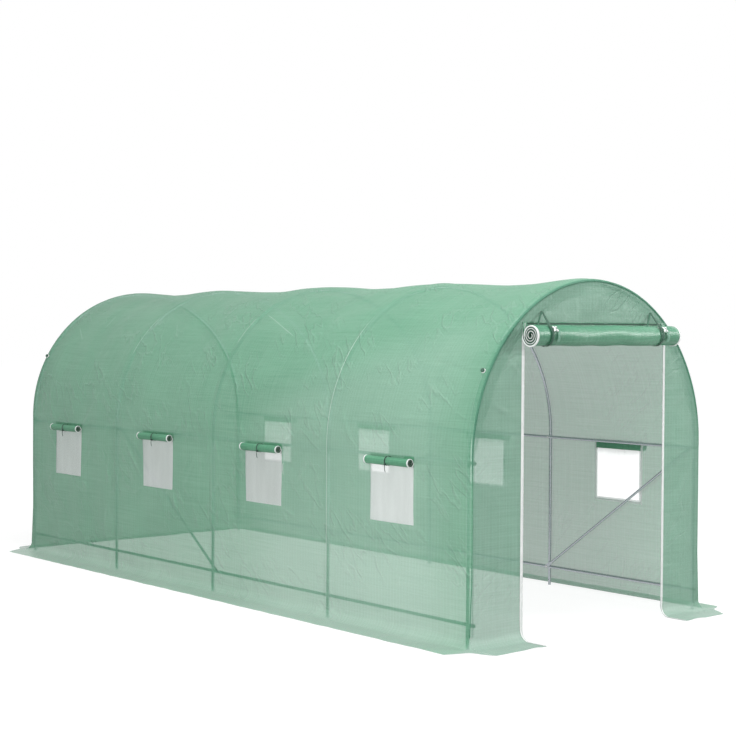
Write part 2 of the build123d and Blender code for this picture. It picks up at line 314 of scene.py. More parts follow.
def galvanised_tube(name, tint=(0.49, 0.53, 0.56), low_tint=None):
    """Zinc-coated tube: pale spangle, draw marks along it and duller patches, and darker towards the ground
    where a low tint is given.
    """
    steel = Finish(name)
    spangle = steel.node("TexVoronoi", {"Vector": steel.solid_place(160.0), "Scale": 1.0})
    flecks = spangle.above(0.45, 0.4)
    dull = steel.cloud(steel.solid_place(7.0), 4.0, 0.6)
    grime = steel.cloud(steel.solid_place(38.0), 3.0, 0.55)
    dark = tuple(part * 0.74 for part in tint)
    colour = steel.blend(flecks * 0.45 + dull * 0.4, dark, tint)
    if low_tint:
        height = steel.part_of(steel.solid_place(1.0), 2)
        colour = steel.blend((height + dull * 0.1).above(0.55, 0.15), low_tint, colour)
    colour = steel.blend(grime.above(0.64, 0.08) * 0.35, colour, (0.36, 0.39, 0.43))
    return steel.done(steel.surface({
        "Base Color": colour,
        "Metallic": 0.92,
        "Roughness": dull * 0.16 + flecks * 0.06 + 0.1,
        "Normal": steel.relief(flecks * 0.3 + grime * 0.7, 0.0004, 0.35),
    }))


def moulded_plastic(name, light, dark, roughness=0.42):
    """Moulded plastic with a fine grain and a little handling wear."""
    plastic = Finish(name)
    grain = plastic.cloud(plastic.solid_place(900.0), 2.0, 0.5)
    scuffs = plastic.cloud(plastic.solid_place(60.0), 4.0, 0.6)
    return plastic.done(plastic.surface({
        "Base Color": plastic.blend(scuffs.above(0.56, 0.16), light, dark),
        "Roughness": scuffs * 0.2 + (roughness - 0.1),
        "Specular IOR Level": 0.45,
        "Normal": plastic.relief(grain, 0.0002, 0.3),
    }))


def woven_tape(name, light, dark, pitch):
    """Narrow woven tape with its ribs across, a little darker where it has been handled."""
    tape = Finish(name)
    u, v = tape.flat_place()
    ribs = threads(tape, v, pitch, 0.5)
    lengthways = threads(tape, u, pitch * 0.7, 0.5)
    soil = tape.cloud(tape.stretched(30.0, 12.0), 4.0, 0.6)
    return tape.done(tape.surface({
        "Base Color": tape.blend(soil.above(0.5, 0.25) * 0.7 + ribs * 0.3, light, dark),
        "Roughness": soil * 0.15 + 0.62,
        "Sheen Weight": 0.05,
        "Normal": tape.relief(ribs * 0.6 + lengthways * 0.4, 0.0005, 0.6),
    }))


def paint_frame_parts(finish, *nodes):
    """Gives CAD nodes of the steel frame their finish."""
    for name in nodes:
        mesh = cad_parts[name].data
        mesh.materials.clear()
        mesh.materials.append(finish)


tunnel_film = woven_film("tunnel_film", 0.255, (0.24, 0.565, 0.365), (0.093, 0.375, 0.207), gloss=0.36,
                         creased=0.35, over_hoops=True)
cover_film = woven_film("cover_film", 0.27, (0.29, 0.56, 0.41), (0.16, 0.39, 0.26), gloss=0.38)
hem_film = woven_film("hem_film", 0.55, (0.28, 0.54, 0.40), (0.15, 0.38, 0.25))
thin_hem_film = woven_film("thin_hem_film", 0.93, (0.31, 0.57, 0.43), (0.17, 0.40, 0.27))
tail_film = woven_film("tail_film", 0.2, (0.32, 0.58, 0.44), (0.2, 0.44, 0.31), glow=0.2)
seam_film = woven_film("seam_film", 0.45, (0.80, 0.88, 0.84), (0.66, 0.78, 0.72))
roll_film = woven_film("roll_film", 0.01, (0.11, 0.34, 0.20), (0.035, 0.185, 0.10), glow=0.03, gloss=0.6,
                       creased=0)
window_roll_film = woven_film("window_roll_film", 0.03, (0.16, 0.40, 0.25), (0.05, 0.22, 0.12), glow=0.08,
                              creased=0)
# A dark, opaque film that is painted shade deep in the rolls: on their inner turns near the ends and between
# the turns of their bindings
painted_shade_film = woven_film("painted_shade_film", 0.0, (0.035, 0.10, 0.06), (0.012, 0.04, 0.025), glow=0.0)
# A darker film, painted shade: the shadow line along the front arch and the strap's leg behind the door roll
edge_shadow_film = woven_film("edge_shadow_film", 0.1, (0.14, 0.38, 0.25), (0.07, 0.26, 0.16))
net_mesh = insect_mesh()
tube_steel = galvanised_tube("galvanised_steel")
# A brighter copy of the galvanised steel, painted light, for the near wall and the rear arches, darker
# towards the ground
brightened_wall_steel = galvanised_tube("brightened_wall_steel", (0.80, 0.83, 0.88), (0.42, 0.46, 0.47))
bolt_steel = galvanised_tube("zinc_bolts", (0.70, 0.71, 0.70))
white_plastic = moulded_plastic("white_plastic", (0.82, 0.84, 0.82), (0.70, 0.73, 0.71))
# Black plastic of the rail caps, also the dark disc that is painted shade in the star clips' holes
black_plastic_and_hole_shade = moulded_plastic("black_plastic_and_hole_shade", (0.055, 0.06, 0.06), (0.11, 0.12, 0.12), 0.5)
knob_plastic = moulded_plastic("knob_plastic", (0.035, 0.11, 0.07), (0.02, 0.07, 0.045), 0.3)
white_tape = woven_tape("white_tape", (0.86, 0.88, 0.87), (0.74, 0.77, 0.76), 0.0016)
# Tape finishes for the inner turns at a roll's ends, greyer and darker than the white rim as painted shade
shaded_rolled_edge = woven_tape("shaded_rolled_edge", (0.72, 0.74, 0.73), (0.52, 0.54, 0.53), 0.0016)
shaded_inner_edge = woven_tape("shaded_inner_edge", (0.26, 0.27, 0.26), (0.10, 0.11, 0.105), 0.0016)
# Dark green webbing of the straps, also the dark strip that is painted shadow under the door head
webbing_and_head_shadow = woven_tape("webbing_and_head_shadow", (0.022, 0.10, 0.056), (0.010, 0.055, 0.032), 0.0022)
dark_elastic = woven_tape("dark_elastic", (0.02, 0.07, 0.045), (0.01, 0.03, 0.02), 0.001)


# Making pieces

def scene_object(name, data):
    """A new object of the scene, which shows the mesh, lamp or camera it is given."""
    made = bpy.data.objects.new(name, data)
    bpy.context.scene.collection.objects.link(made)
    return made


def make_piece(name, points, faces, finishes, cut=None, face_finish=None, stress=None):
    """A smooth-shaded piece of the tunnel from its points and faces, with its flat cut as UVs."""
    mesh = bpy.data.meshes.new(name)
    mesh.from_pydata([tuple(point) for point in np.asarray(points, float)], [], faces)
    mesh.validate()
    if cut is not None:
        layer = mesh.uv_layers.new(name="cut")
        corners = np.zeros(len(mesh.loops), int)
        mesh.loops.foreach_get("vertex_index", corners)
        layer.data.foreach_set("uv", np.asarray(cut, float)[corners].ravel())
    if stress is not None:
        mesh.attributes.new("stress", "FLOAT", "POINT").data.foreach_set("value", np.asarray(stress, float))
    for finish in finishes if isinstance(finishes, (list, tuple)) else [finishes]:
        mesh.materials.append(finish)
    if face_finish is not None:
        mesh.polygons.foreach_set("material_index", np.asarray(face_finish, int))
    mesh.polygons.foreach_set("use_smooth", [True] * len(mesh.polygons))
    piece = scene_object(name, mesh)
    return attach(piece, "root")


def grid_faces(rows, columns, keep=None):
    """Quads of a grid whose points run along its columns first, where keep allows them."""
    faces = []
    for row in range(rows - 1):
        for column in range(columns - 1):
            if keep is None or keep(row, column):
                corner = row * columns + column
                faces.append((corner, corner + 1, corner + columns + 1, corner + columns))
    return faces


def ring_faces(rows, count):
    """Quads between rings of points that follow each other, with the first and the last ring closed."""
    faces = [(row * count + number, row * count + (number + 1) % count,
              (row + 1) * count + (number + 1) % count, (row + 1) * count + number)
             for row in range(rows - 1) for number in range(count)]
    return faces + [tuple(range(count))[::-1], tuple((rows - 1) * count + number for number in range(count))]


def table_of(*values):
    """Numbers and rows of numbers, as the columns of one table."""
    return np.stack(np.broadcast_arrays(*values), axis=-1)


def interleaved(lines):
    """The points of several lines in one row: the first of each line, then the second of each."""
    return np.stack(lines, axis=1).reshape(-1, 3)


def crossed(first, second):
    """Every pairing of two sets of numbers, as two long rows of numbers."""
    return (grid.ravel() for grid in np.meshgrid(first, second, indexing="ij"))


def run_along(line):
    """How far along a line each of its points lies."""
    return np.concatenate([[0], np.cumsum(np.linalg.norm(np.diff(line, axis=0), axis=1))])


def round_about(distance, turn):
    """Flat places at a distance from the middle and a turn round it."""
    return table_of(distance * np.cos(turn), distance * np.sin(turn))


def stations(fixed, step):
    """Evenly spread places that include each of the fixed ones."""
    places = [fixed[0]]
    for start, end in zip(fixed[:-1], fixed[1:]):
        count = max(1, round((end - start) / step))
        places.extend(start + (end - start) * (number + 1) / count for number in range(count))
    return np.array(places)


def inside(outline, places):
    """Whether each place lies inside a closed outline."""
    found = np.zeros(len(places), bool)
    for (x1, y1), (x2, y2) in zip(outline, np.roll(outline, -1, axis=0)):
        crosses = (y1 > places[:, 1]) != (y2 > places[:, 1])
        reach = x1 + (places[:, 1] - y1) * (x2 - x1) / (y2 - y1 if y2 != y1 else 1e-9)
        found ^= crosses & (places[:, 0] < reach)
    return found


def distance_to(outline, places):
    """How far each place lies from an outline."""
    nearest = np.full(len(places), 1e9)
    for start, end in zip(outline, np.roll(outline, -1, axis=0)):
        run = end - start
        share = np.clip(((places - start) @ run) / max(run @ run, 1e-12), 0, 1)
        nearest = np.minimum(nearest, np.linalg.norm(places - start - share[:, None] * run, axis=1))
    return nearest


def cut_sheet(corners, spacing):
    """The flat points and triangles of a sheet cut to an outline."""
    rim = []
    corners = np.array(corners, float)
    for start, end in zip(corners, np.roll(corners, -1, axis=0)):
        count = max(1, int(round(np.linalg.norm(end - start) / spacing)))
        rim.extend(start + (end - start) * number / count for number in range(count))
    rim = np.array(rim)
    low, high = rim.min(0), rim.max(0)
    fill = table_of(*crossed(*(np.arange(low[axis], high[axis], spacing) for axis in (0, 1))))
    fill = fill[inside(rim, fill)]
    fill = fill[distance_to(rim, fill) > spacing * 0.45]
    flat = np.concatenate([rim, fill])
    loop = list(range(len(rim)))
    made = delaunay_2d_cdt([Vector(place) for place in flat], [], [loop], 1, 1e-6)
    return np.array([list(place) for place in made[0]]), [tuple(face) for face in made[2]]


# Folds and swells of the film

# Folds higher than this whiten the film, up to a limit
WHITE_FROM = 0.003
WHITEST = 0.15


def folds_over(places, folds):
    """How far the film stands out at each place on its cut, and how white its creases are there, from folds
    given by their middle, direction, length, width and height."""
    height, stress = np.zeros(len(places)), np.zeros(len(places))
    for middle_u, middle_v, direction, length, width, rise in folds:
        u, v = places[:, 0] - middle_u, places[:, 1] - middle_v
        along = u * np.cos(direction) + v * np.sin(direction)
        off = -u * np.sin(direction) + v * np.cos(direction)
        bow = off - 0.12 * along * along / length
        reach = np.clip(1 - (2 * along / length) ** 2, 0, 1)
        height += rise * reach**1.5 * np.exp(-((bow / width) ** 2))
        if rise > WHITE_FROM:
            stress = np.maximum(stress, 30 * rise * reach * np.exp(-((bow / (0.6 * width)) ** 2)))
    return height, np.clip(stress, 0, WHITEST)


def swell(places, seed, rise=0.002, run=0.5):
    """Slow waves in the film."""
    draw = np.random.default_rng(seed)
    height = np.zeros(len(places))
    for _ in range(7):
        turn = draw.uniform(0, np.pi)
        wave = 2 * np.pi / (run * draw.uniform(0.5, 1.6))
        phase = draw.uniform(0, 2 * np.pi)
        height += np.sin(wave * (places[:, 0] * np.cos(turn) + places[:, 1] * np.sin(turn)) + phase)
    return height * rise / 2.5


def bay_folds(bay, start, end):
    """The pulled folds of one bay: from its window corners, beside its hoops and along the roof."""
    draw = np.random.default_rng(40 + bay)
    folds = []

    def fold(u, v, lean, lengths, widths, rises):
        folds.append((u, v, lean, draw.uniform(*lengths), draw.uniform(*widths), draw.uniform(*rises)))

    for side in (-1, 1):
        # From the corners of the window
        for corner_y in (-1, 1):
            for corner_z, height in ((1, SILL), (-1, HEAD)):
                place = ARCH_RUN + SPRING - height
                for _ in range(3):
                    lean = np.arctan2(corner_z, corner_y) + draw.uniform(-0.5, 0.5)
                    u = WINDOWS[bay] + corner_y * WINDOW_HALF + np.cos(lean) * 0.09
                    fold(u, side * (place + np.sin(lean) * 0.09), side * lean,
                         (0.08, 0.2), (0.009, 0.013), (0.002, 0.0045))
        # Beside the two hoops, and scattered over the wall
        for _ in range(26):
            near = draw.choice([start, end]) + draw.uniform(-0.16, 0.16)
            fold(near, side * (ARCH_RUN + draw.uniform(-0.2, 0.95)), np.pi / 2 + draw.uniform(-0.5, 0.5),
                 (0.08, 0.3), (0.009, 0.016), (0.0012, 0.004))
        for _ in range(16):
            fold(draw.uniform(start, end), side * (ARCH_RUN + draw.uniform(0.1, 0.95)),
                 draw.uniform(0.5, 2.6), (0.06, 0.2), (0.009, 0.014), (0.001, 0.0032))
        # Long slanted pulls on each side of the window
        for corner in (-1, 1):
            for _ in range(4):
                u = WINDOWS[bay] + corner * (WINDOW_HALF + draw.uniform(0.08, 0.22))
                v = side * (ARCH_RUN + draw.uniform(-0.12, 0.3))
                fold(u, v, side * corner * draw.uniform(-1.2, -0.8),
                     (0.25, 0.5), (0.010, 0.018), (0.0015, 0.0035))
        # Along the roof
        for _ in range(12):
            fold(draw.uniform(start, end), side * draw.uniform(0.1, ARCH_RUN), draw.uniform(-0.6, 0.6),
                 (0.2, 0.6), (0.014, 0.035), (-0.003, 0.003))
    return folds


def crown_lift(y):
    """How far the slack sheet stands over the ridge of the hoops, more towards the front."""
    return np.interp(y, (-2.5, -1.2, 0.0, 1.2, 2.5), (0.018, 0.015, 0.009, 0.004, 0.0))


def edge_fall(y):
    """How far the sheet has dropped over its end hoop, towards its front or rear edge."""
    return EDGE_FALL * np.clip((np.abs(y) - (HALF_LENGTH - EDGE_REACH)) / EDGE_REACH, 0, 1) ** 2


def past_the_bend(run):
    """How the cover lies at a run past the top of its bend: how far it has turned, come out over the bend,
    gone on over the ground and come down."""
    bend = np.clip(run, 0, BEND_RUN) / BEND
    return bend, BEND * (1 - np.cos(bend)), np.clip(run - BEND_RUN, 0, None), BEND * np.sin(bend)


def round_the_tunnel(y, v, out):
    """The place of a point of the main sheet, from its run round the section and its height off it."""
    side, run = np.sign(v), np.abs(v)
    between = np.clip((y - HOOPS[0]) / (HOOPS[1] - HOOPS[0]), 0, 4) % 1.0
    sag = ROOF_SAG * np.sin(np.pi * between) ** 1.6
    turn = np.minimum(run, ARCH_RUN) / HALF_WIDTH
    down = np.clip(run - ARCH_RUN, 0, WALL_RUN)
    bend, curve, level, drop = past_the_bend(run - ARCH_RUN - WALL_RUN)
    fall = edge_fall(y) * np.clip((ARCH_RUN + WALL_RUN - run) / 0.3, 0, 1)
    x = (HALF_WIDTH - fall) * np.sin(turn) + curve + level
    z = SPRING + (HALF_WIDTH - sag - fall) * np.cos(turn) - down - drop
    z += crown_lift(y) * np.cos(turn) ** 2
    out_x = np.where(run < ARCH_RUN, np.sin(turn), np.cos(bend))
    out_z = np.where(run < ARCH_RUN, np.cos(turn), np.sin(bend))
    return table_of(side * (x + out * out_x), y, np.maximum(z + out * out_z, LIFT * 0.6))


def skirt_ripple(along, flat, seed):
    """The skirt's edge lifts a little off the ground in shallow ripples."""
    draw = np.random.default_rng(seed)
    wave = sum(np.sin(along * draw.uniform(14, 46) + draw.uniform(0, 6.3)) for _ in range(4))
    return np.clip(flat / SKIRT_RUN, 0, 1) * (0.0008 + 0.0004 * wave)


def cover_bay(bay):
    """The main sheet over one bay, from the edge of one skirt over the roof to the edge of the other."""
    start = -HALF_LENGTH if bay == 0 else HOOPS[bay]
    end = HALF_LENGTH if bay == 3 else HOOPS[bay + 1]
    low, high = WINDOWS[bay] - WINDOW_HALF, WINDOWS[bay] + WINDOW_HALF
    head, sill = ARCH_RUN + SPRING - HEAD, ARCH_RUN + SPRING - SILL
    bend_from = ARCH_RUN + WALL_RUN
    lengths = stations([start, low, high, end], COVER_STEP)
    half = [0, ARCH_RUN, head, sill, bend_from, bend_from + BEND_RUN, HALF_ROUND]
    rounds = stations([-place for place in half[:0:-1]] + half, COVER_STEP)
    y, v = crossed(lengths, rounds)
    flat = table_of(y, v)
    out, stress = folds_over(flat, bay_folds(bay, start, end))
    out += swell(flat, 7 + bay, 0.004)
    out *= np.clip((bend_from + 0.5 * BEND_RUN - np.abs(v)) / 0.06, 0.12, 1)
    to_hoop = np.min(np.abs(y[:, None] - HOOPS), axis=1)
    held = np.clip((np.minimum(to_hoop, HALF_LENGTH - np.abs(y)) - 0.006) / 0.03, 0, 1)
    out *= held
    stress *= held
    # It stands out a little over the hoops and the middle rails
    out += 0.0012 * np.exp(-((to_hoop / 0.011) ** 2)) * (np.abs(v) < bend_from)
    rail_run = ARCH_RUN + (SPRING - RAIL_HEIGHTS["middle"])
    out += 0.0009 * np.exp(-(((np.abs(v) - rail_run) / 0.008) ** 2))
    out += skirt_ripple(y, np.abs(v) - bend_from - BEND_RUN, 3)
    points = round_the_tunnel(y, v, out)
    middle_y = (lengths[:-1] + lengths[1:]) / 2
    middle_v = np.abs(rounds[:-1] + rounds[1:]) / 2
    open_y = (middle_y > low) & (middle_y < high)
    open_v = (middle_v > head) & (middle_v < sill)
    faces = grid_faces(len(lengths), len(rounds), lambda row, column: not (open_y[row] and open_v[column]))
    cover = make_piece(f"tunnel_cover_{bay + 1}", points, faces, tunnel_film, cut=flat,
                       stress=stress)
    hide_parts(f"roof_bay_{bay + 1}", "left_wall", "right_wall", "left_skirt", "right_skirt")
    return cover, (end - start) * (2 * HALF_ROUND) - 2 * (2 * WINDOW_HALF) ** 2, end - start


def corner_gusset(name, side, end):
    """The skirt where it turns a corner of the tunnel, with its edge drawn in."""
    turn_count, run_count = 25, 17
    turn, run = crossed(np.linspace(0, np.pi / 2, turn_count), np.linspace(0, 1, run_count))
    edge = SKIRT - 0.1 * np.sin(2 * turn) ** 0.8
    distance = run * (BEND_RUN + edge - BEND)
    _, curve, level, drop = past_the_bend(distance)
    reach = curve + level
    height = BENDS_AT - drop + 0.004 * np.sin(2 * turn) * run
    points = table_of(side * (HALF_WIDTH + reach * np.cos(turn)),
                      end * (HALF_LENGTH + reach * np.sin(turn)), height)
    gusset = make_piece(name, points, grid_faces(turn_count, run_count), cover_film,
                        cut=round_about(distance, turn))
    word = WORDS[side]
    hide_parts(f"{word}_skirt")


def end_outline(door):
    """Outline of an end sheet's cut: the arch, with the skirt below it and the doorway cut out."""
    arch = [(HALF_WIDTH * np.cos(turn), WALL_RUN + HALF_WIDTH * np.sin(turn))
            for turn in np.linspace(0, np.pi, 121)]
    outline = [(HALF_WIDTH, -GROUND_RUN)] + arch + [(-HALF_WIDTH, -GROUND_RUN)]
    if door:
        outline += [(DOOR_LEFT, -GROUND_RUN), (DOOR_LEFT, DOOR_RUN), (DOOR_RIGHT, DOOR_RUN),
                    (DOOR_RIGHT, -GROUND_RUN)]
    return outline


def down_the_end(flat, out, end):
    """The place of a point of an end sheet, which drops straight and turns out onto the ground."""
    x, v = flat.T
    bend, curve, level, drop = past_the_bend(-v)
    y = HALF_LENGTH + curve + level + out * np.cos(bend)
    rise = np.maximum(v - WALL_RUN, 0)
    from_middle = np.maximum(np.hypot(x, rise), 1e-6)
    shrink = 1 - EDGE_FALL * np.clip((from_middle - 0.9) / 0.1, 0, 1) * np.clip(v / 0.3, 0, 1) / from_middle
    x = x * shrink
    z = BENDS_AT + np.maximum(v, 0) - rise * (1 - shrink) - drop + out * np.sin(bend)
    near_edge = np.clip((from_middle - 0.76) / 0.24, 0, 1)
    z += crown_lift(end * HALF_LENGTH) * (rise / from_middle) ** 2 * near_edge
    return table_of(x, end * y, np.maximum(z, LIFT * 0.6))


def end_folds(seed, door):
    """Scattered folds of an end sheet, and at the door those under its straps and round its arch."""
    draw = np.random.default_rng(seed)
    folds = []
    for _ in range(60):
        folds.append((draw.uniform(-0.95, 0.95), draw.uniform(0.1, 1.9), draw.uniform(0.5, 2.6),
                      draw.uniform(0.08, 0.3), draw.uniform(0.010, 0.016), draw.uniform(0.001, 0.004)))
    if door:
        for strap, _, _ in STRAPS.values():
            for lean in (0.9, 1.4, 1.9, 2.4):
                folds.append((strap + 0.07 * np.cos(lean), 1.87 + 0.1 * np.sin(lean) - BENDS_AT, lean,
                              0.2, 0.011, 0.003))
        for turn in np.linspace(0.35, 2.8, 9):
            folds.append((0.82 * np.cos(turn), 0.98 + 0.82 * np.sin(turn), turn, 0.16, 0.012, 0.0035))
    return folds


def end_sheet(name, end, door, seed, nodes):
    """The sheet over one end of the tunnel, with its part of the skirt."""
    flat, faces = cut_sheet(end_outline(door), END_STEP)
    out, stress = folds_over(flat, end_folds(seed, door))
    out += swell(flat, seed, 0.003, 0.4)
    x, v = flat.T
    to_arch = np.where(v > WALL_RUN, HALF_WIDTH - np.hypot(x, v - WALL_RUN), 1.0)
    edge = np.minimum(HALF_WIDTH - np.abs(x), to_arch)
    if door:
        aside = np.maximum(np.maximum(DOOR_LEFT - x, x - DOOR_RIGHT), 0)
        edge = np.minimum(edge, np.hypot(aside, np.maximum(v - DOOR_RUN, 0)))
    out = np.maximum(out * np.clip((edge - 0.03) / 0.05, 0, 1), -0.0012)
    out += skirt_ripple(x, -v - BEND_RUN, seed)
    points = down_the_end(flat, out, end)
    if end < 0:
        faces = [face[::-1] for face in faces]
    sheet = make_piece(name, points, faces, cover_film, cut=flat, stress=stress)
    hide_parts(*nodes)
    width, length = 2 * HALF_WIDTH, HALF_WIDTH + SPRING - BENDS_AT + BEND_RUN + SKIRT_RUN
    area = width * (length - HALF_WIDTH) + np.pi / 2 * HALF_WIDTH**2
    if door:
        area -= (DOOR_RIGHT - DOOR_LEFT) * (length - (SPRING + HALF_WIDTH) + DOOR_TOP)


def hem_band(name, end, door, node, film):
    """The main sheet's turned-in edge, a band behind an end sheet."""
    outer = HALF_WIDTH - EDGE_FALL - 0.001
    turns = np.linspace(0, np.pi, 140)
    runs = np.linspace(0, 1, 7)
    heights = np.linspace(BENDS_AT, SPRING, 60)[:-1]
    outline = [(outer, z, 0.0) for z in heights] + [
        (outer * np.cos(turn), SPRING + outer * np.sin(turn), turn) for turn in turns
    ] + [(-outer, z, np.pi) for z in heights[::-1]]
    points, cut = [], []
    run, area = 0.0, 0.0
    before = outline[0]
    for x, z, turn in outline:
        step = np.hypot(x - before[0], z - before[1])
        deep = HEM_WIDTH * np.interp(z, (SPRING, SPRING + 0.3), (0.15, 1.0))
        run += step
        area += step * deep
        before = (x, z)
        for share in runs:
            wave = 0.0006 * np.sin(run * 31) * share
            inward = deep * share
            point_x, point_z = x - inward * np.cos(turn), z - inward * np.sin(turn)
            point_z += crown_lift(end * HALF_LENGTH) * np.sin(turn) ** 2
            if door and DOOR_LEFT - 0.01 < point_x < DOOR_RIGHT + 0.01 and point_z > 1.5:
                point_z = max(point_z, DOOR_TOP)
            points.append((point_x, end * (HALF_LENGTH - HEM_BEHIND - wave), point_z))
            cut.append((run, inward))
    band = make_piece(name, points, grid_faces(len(outline), len(runs)), film, cut=cut)
    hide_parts(node)


covers = [cover_bay(bay) for bay in range(4)]
end_sheet("front_sheet", -1, True, 21, (
    "front_left_panel", "front_right_panel", "front_gable", "front_left_skirt", "front_right_skirt"))
end_sheet("rear_sheet", 1, False, 33, ("rear_wall", "rear_skirt"))
for end_word, end in (("front", -1), ("rear", 1)):
    for side, word in WORDS.items():
        corner_gusset(f"{end_word}_{word}_gusset", side, end)
hem_band("front_hem_band", -1, True, "front_hem", hem_film)
hem_band("rear_hem_band", 1, False, "rear_hem", thin_hem_film)


# Swept and turned shapes

def frames_along(path):
    """Points of a path with a pair of directions square to it at each."""
    path = np.asarray(path, float)
    ahead = np.gradient(path, axis=0)
    ahead /= np.linalg.norm(ahead, axis=1)[:, None]
    first = np.cross(ahead[0], (0.3, 0.2, 0.9))
    sides = []
    for direction in ahead:
        first = first - direction * (first @ direction)
        first /= np.linalg.norm(first)
        sides.append(first.copy())
    sides = np.array(sides)
    return path, sides, np.cross(ahead, sides)


def swept(path, section, scale=1.0):
    """Points, faces and cut of a section carried along a path; the section is (first, second) pairs."""
    path, first, second = frames_along(path)
    sized = section[None] * np.reshape(scale, (-1, 1, 1))
    points = path[:, None] + sized[:, :, :1] * first[:, None] + sized[:, :, 1:] * second[:, None]
    cut = table_of(np.tile(run_along(section), len(path)), np.repeat(run_along(path), len(section)))
    return points.reshape(-1, 3), ring_faces(len(path), len(section)), cut


def round_section(radius, count):
    """Points of a round section."""
    return round_about(radius, np.linspace(0, 2 * np.pi, count, endpoint=False))


def turned(profile, origin, axis, count):
    """Points and faces of a turned piece; the profile is (radius, height) pairs from base to tip."""
    axis = Vector(axis).normalized()
    side = axis.orthogonal().normalized()
    other = axis.cross(side)
    points = [Vector(origin) + axis * height + (side * np.cos(turn) + other * np.sin(turn)) * radius
              for radius, height in profile for turn in 2 * np.pi * np.arange(count) / count]
    return points, ring_faces(len(profile), count)


def gathered(parts):
    """Several sets of points and faces as one."""
    points, faces = [], []
    for part_points, part_faces in parts:
        faces.extend(tuple(index + len(points) for index in face) for face in part_faces)
        points.extend(tuple(point) for point in part_points)
    return points, faces


def ribbon(centres, outward, widths, thickness):
    """Points, faces and cut of a flat band along a line, with its outer face turned outward."""
    centres = np.asarray(centres, float)
    outward = np.asarray(outward, float)
    outward = outward / np.linalg.norm(outward, axis=1)[:, None]
    across = np.cross(np.gradient(centres, axis=0), outward)
    across *= (np.asarray(widths) / 2 / np.linalg.norm(across, axis=1))[:, None]
    rise = outward * thickness / 2
    points = interleaved([centres - across + rise, centres + across + rise,
                          centres + across - rise, centres - across - rise])
    half = np.broadcast_to(np.asarray(widths) / 2, len(centres))
    cut = table_of(table_of(-half, half, half, -half).ravel(), np.repeat(run_along(centres), 4))
    return points, ring_faces(len(centres), 4), cut


# Rolled flaps

# Points of a flap before it is wound, and points in each turn of the wound flap and of its binding
LEAD = 6
FLAP_POINTS = 44
BINDING_POINTS = 40


def winding(radius, pitch, core, count):
    """The turn at each point of a roll, wound from behind it inward, and how far in the sheet has come."""
    turns = (radius - core) / pitch
    turn = np.pi + 2 * np.pi * turns * np.linspace(0, 1, int(turns * count))
    return turn, pitch * (turn - np.pi) / (2 * np.pi)


def rolled_section(radius, pitch, core, head):
    """Section of a rolled flap: down from its fixed edge behind the roll, under it, up its front and in."""
    turn, inward = winding(radius, pitch, core, FLAP_POINTS)
    lead = table_of(-radius, np.linspace(head, 0, LEAD + 1)[:-1])
    return np.concatenate([lead, round_about(radius - inward, turn)])


def rolled_flap(name, radius, pitch, core, head, ends, to_space, wave, film, seed):
    """A flap rolled up from below, with the long pleats it has taken, and the length of its sheet."""
    section = rolled_section(radius, pitch, core, head)
    start, end = ends
    draw = np.random.default_rng(seed)
    pulls = [(draw.uniform(5, 30), draw.uniform(0, 6.3), draw.uniform(0.4, 1), number % 3)
             for number in range(6)]
    steps = run_along(section)
    turn = np.arctan2(section[:, 1], section[:, 0])
    loose = np.where(np.arange(len(section)) < LEAD, 0, 1)
    lengths = np.linspace(start, end, 72)
    points, cut = [], []
    for length in lengths:
        pleats = sum(share * np.sin(pull * length + phase + turn * lobes)
                     for pull, phase, share, lobes in pulls)
        held = min(1, min(length - start, end - length) / 0.05)
        rough = section * (1 + wave * held * pleats * loose / 3)[:, None]
        rough[:, 0] = np.maximum(rough[:, 0], -radius - 0.0004)
        points.append(to_space(length, rough))
        cut.append(table_of(length, steps))
    # Painted shade: the faces of the inner turns near each end take the dark film
    near_end = np.minimum(lengths - start, end - lengths)[:-1] < 0.03
    wound_in = np.arange(len(section) - 1) > LEAD + FLAP_POINTS
    shaded = (near_end[:, None] & wound_in[None, :]).astype(int).ravel()
    flap = make_piece(name, np.concatenate(points), grid_faces(len(lengths), len(section)), [film, painted_shade_film],
                      cut=np.concatenate(cut), face_finish=shaded)
    return flap, steps[-1]


def rolled_binding(name, radius, pitch, core, thick, place, depth, to_space, rest, within):
    """The bound edge of a flap, wound up with it and resting on the sheet behind: white round the rim, with
    another, darker finish within as painted shade of the inner turns, and dark strips between the turns as
    painted shade in the gaps."""
    turn, inward = winding(radius, pitch, core, BINDING_POINTS)
    rim = turn < 3.04 * np.pi
    outer = radius + 0.0008 - inward
    inner = outer - np.where(rim, *thick)
    lines = []
    for distance, share in ((outer, 0), (outer, 1), (inner, 1), (inner, 0)):
        section = round_about(distance, turn)
        section[:, 0] = np.maximum(section[:, 0], -rest - 0.0004)
        lines.append(to_space(place + depth * share, section))
    # Painted shade: the inner turns take the darker finish, and dark strips fill the gaps between the turns
    shaded_turns = np.repeat(~rim[1:], 4).astype(int)
    between = [to_space(place + depth * 0.14, round_about(distance, turn))
               for distance in (inner, outer - pitch)]
    gap_faces = grid_faces(len(turn), 2)
    run = np.cumsum(outer * np.gradient(turn))
    cut = table_of(np.tile([0, depth, depth + 0.004, 0.004], len(turn)), np.repeat(run, 4))
    gap_cut = table_of(np.tile([0, 0.004], len(turn)), np.repeat(run, 2))
    all_points, all_faces = gathered([(interleaved(lines), ring_faces(len(turn), 4)),
                                      (interleaved(between), gap_faces)])
    return make_piece(name, all_points, all_faces, [white_tape, within, painted_shade_film],
                      cut=np.concatenate([cut, gap_cut]),
                      face_finish=np.concatenate([shaded_turns, [0, 1], np.full(len(gap_faces), 2)]))


WINDOW_ROLL_X = 1.0285
WINDOW_ROLL_Z = 1.002
WINDOW_ROLL_RADIUS = 0.0275
WINDOW_ROLL_PITCH = 0.0066
WINDOW_FLAP_HALF = 0.195
KNOT_OUT = 0.031


